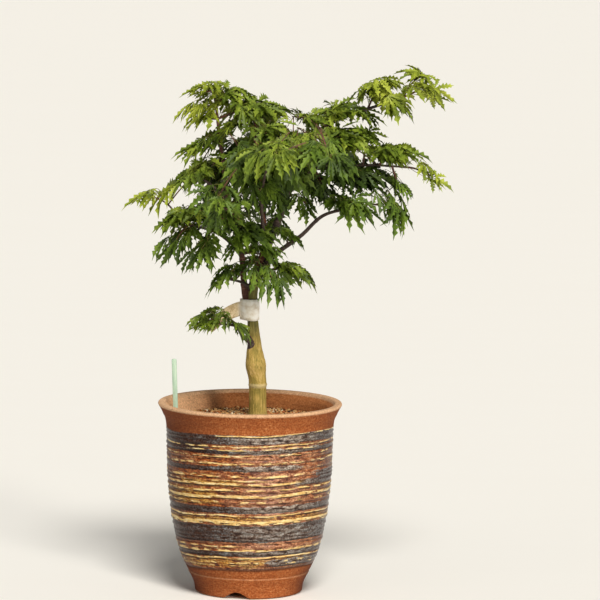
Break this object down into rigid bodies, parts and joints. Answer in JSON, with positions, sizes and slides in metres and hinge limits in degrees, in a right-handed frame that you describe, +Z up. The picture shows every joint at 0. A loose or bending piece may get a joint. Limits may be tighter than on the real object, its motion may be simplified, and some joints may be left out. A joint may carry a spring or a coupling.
{
  "type": "potted japanese maple",
  "caption": "Young Japanese maple with an open, layered crown of finely cut green leaves, growing in a tall round banded stoneware pot of granular soil; a patio or shelf plant.",
  "frame": {"origin": "centre of the pot's flat underside, which stands on the table or floor", "axes": "+Z up; -Y is the tree's front and +X is to the right as seen from the front"},
  "size_m": [0.2645, 0.1859, 0.4307],
  "materials": {
    "stoneware": "matte",
    "soil": "matte",
    "bark": "matte",
    "foliage": "matte",
    "tag": "matte",
    "marker": "satin"
  },
  "bodies": {
    "root": {"pot": "stoneware", "soil": "soil", "plant_marker": "marker", "trunk": "bark", "nursery_tag": "tag", "bough_left_back": "bark", "bough_left_front": "bark", "bough_left_low": "bark", "bough_left_mid": "bark", "bough_low_left": "bark", "bough_low_right": "bark", "bough_middle_back": "bark", "bough_middle_front": "bark", "bough_right_back": "bark", "bough_right_front": "bark", "bough_right_low": "bark", "bough_right_mid": "bark", "shoot_low": "bark", "stem_left": "bark", "stem_middle": "bark", "stem_right": "bark", "leaves_arm_eave": "foliage", "leaves_arm_middle": "foliage", "leaves_arm_peak": "foliage", "leaves_arm_root": "foliage", "leaves_arm_tip": "foliage", "leaves_back_crest": "foliage", "leaves_back_left": "foliage", "leaves_back_low": "foliage", "leaves_back_middle": "foliage", "leaves_back_right": "foliage", "leaves_brow": "foliage", "leaves_crest_left": "foliage", "leaves_crest_middle": "foliage", "leaves_front_left": "foliage", "leaves_front_middle": "foliage", "leaves_front_right": "foliage", "leaves_heart_left": "foliage", "leaves_heart_low": "foliage", "leaves_heart_middle": "foliage", "leaves_inner_drop": "foliage", "leaves_left_body": "foliage", "leaves_left_drop": "foliage", "leaves_left_eave": "foliage", "leaves_left_hang": "foliage", "leaves_left_reach": "foliage", "leaves_left_shelf": "foliage", "leaves_left_tip": "foliage", "leaves_left_upper": "foliage", "leaves_low_left": "foliage", "leaves_low_middle": "foliage", "leaves_low_right": "foliage", "leaves_right_body": "foliage", "leaves_right_drop": "foliage", "leaves_right_low": "foliage", "leaves_right_middle": "foliage", "leaves_right_tip": "foliage", "leaves_right_upper": "foliage", "leaves_shoot_left": "foliage", "leaves_shoot_right": "foliage"}
  },
  "joints": []
}
